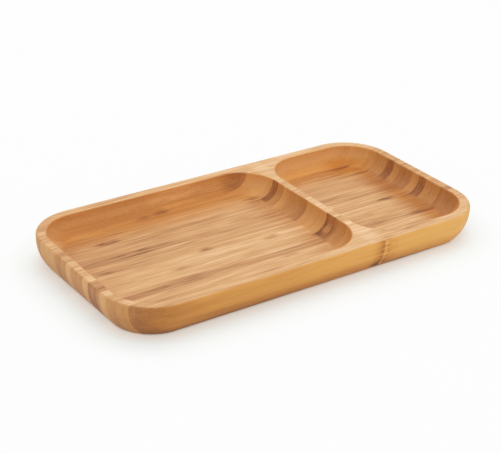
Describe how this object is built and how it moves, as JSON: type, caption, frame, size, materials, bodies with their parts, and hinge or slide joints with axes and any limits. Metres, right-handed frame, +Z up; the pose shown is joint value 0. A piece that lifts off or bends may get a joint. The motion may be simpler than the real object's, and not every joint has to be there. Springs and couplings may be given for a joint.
{
  "type": "divided compartment plate",
  "caption": "Low rectangular bamboo serving tray with rounded corners, a long and a short coved compartment and a narrow divider between them.",
  "frame": {"origin": "middle of the base, at the surface it stands on", "axes": "+X along the strips, from the long compartment to the short one; +Y from front to back; +Z up"},
  "size_m": [0.3, 0.155, 0.024],
  "materials": {
    "bamboo_pale": "satin oiled, fine grain along X",
    "bamboo_honey": "satin oiled, fine grain along X",
    "bamboo_peach": "satin oiled, fine grain along X",
    "bamboo_brown": "satin oiled, fine grain along X"
  },
  "bodies": {
    "root": {"front_edge_strip": "bamboo_honey", "strip_02": "bamboo_brown", "strip_03": "bamboo_peach", "strip_04": "bamboo_honey", "strip_05": "bamboo_pale", "strip_06": "bamboo_brown", "strip_07": "bamboo_peach", "strip_08": "bamboo_pale", "strip_09": "bamboo_honey", "strip_10": "bamboo_honey", "strip_11": "bamboo_pale", "strip_12": "bamboo_peach", "strip_13": "bamboo_honey", "strip_14": "bamboo_honey", "strip_15": "bamboo_pale", "strip_16": "bamboo_peach", "strip_17": "bamboo_brown", "strip_18": "bamboo_honey", "strip_19": "bamboo_pale", "strip_20": "bamboo_honey", "back_edge_strip": "bamboo_peach"}
  },
  "joints": []
}
